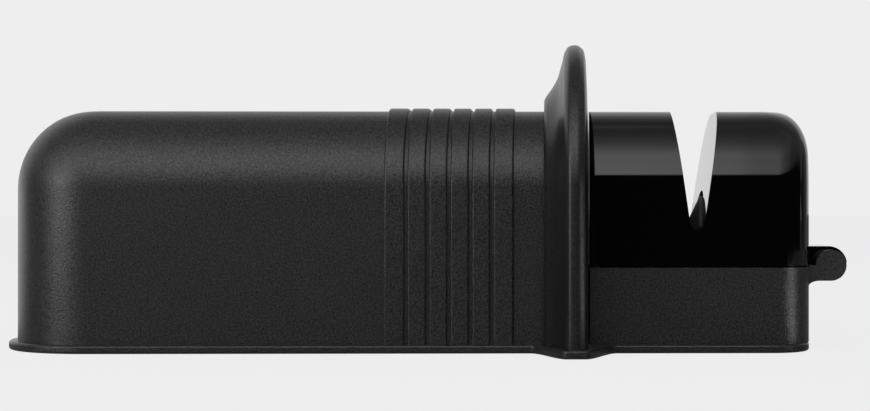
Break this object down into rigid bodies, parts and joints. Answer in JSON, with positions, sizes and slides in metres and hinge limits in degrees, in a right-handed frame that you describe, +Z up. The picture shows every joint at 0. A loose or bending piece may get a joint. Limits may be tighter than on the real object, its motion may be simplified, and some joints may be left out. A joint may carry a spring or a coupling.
{
  "type": "axe and knife sharpener",
  "caption": "Hand-held sharpener for axes and knives: ribbed hollow handle, flared finger guard, and a head with a slotted hinged lid over bevelled rolling wheels.",
  "frame": {"origin": "centre of the footprint box, on the surface that the part stands on", "axes": "+X along the length from the handle's nose to the sharpening head, +Y to the back of the pictured side, +Z up"},
  "size_m": [0.1696, 0.057, 0.0612],
  "materials": {
    "textured_plastic": "fine sparked texture, black",
    "satin_plastic": "satin, black",
    "gloss_plastic": "polished, deep black",
    "nylon": "moulded, dark grey",
    "ceramic": "fired ceramic, fine grain, dark grey",
    "steel": "plain turned steel"
  },
  "bodies": {
    "body": {"handle_shell": "textured_plastic", "hand_guard": "satin_plastic", "base_plate": "textured_plastic", "head_base": "textured_plastic", "hinge_pin": "steel", "nose_screw": "steel", "middle_screw": "steel", "neck_screw": "steel", "guard_screw_front": "steel", "guard_screw_back": "steel", "head_screw_inner": "steel", "head_screw_outer": "steel", "wheel_carrier": "nylon", "wheel_axle": "steel", "spacer_washer_left": "steel", "spacer_washer_right": "steel", "axle_clip_left": "steel", "axle_clip_right": "steel", "carrier_screw_left": "steel", "carrier_screw_right": "steel"},
    "lid": {"head_cover": "gloss_plastic"},
    "left_wheel": {"wheel_left": "ceramic"},
    "right_wheel": {"wheel_right": "ceramic"}
  },
  "joints": [
    {"name": "lid_hinge", "type": "hinge", "parent": "body", "child": "lid", "pos_m": [0.08109, 0, 0.01685], "axis": [0, 1, 0], "range_deg": [0, 115]},
    {"name": "left_wheel_roll", "type": "hinge", "parent": "body", "child": "left_wheel", "pos_m": [0.05324, 0, 0.0218], "axis": [0.9945, -0.1045, 0], "continuous": true},
    {"name": "right_wheel_roll", "type": "hinge", "parent": "body", "child": "right_wheel", "pos_m": [0.05324, 0, 0.0218], "axis": [0.9945, -0.1045, 0], "continuous": true}
  ]
}
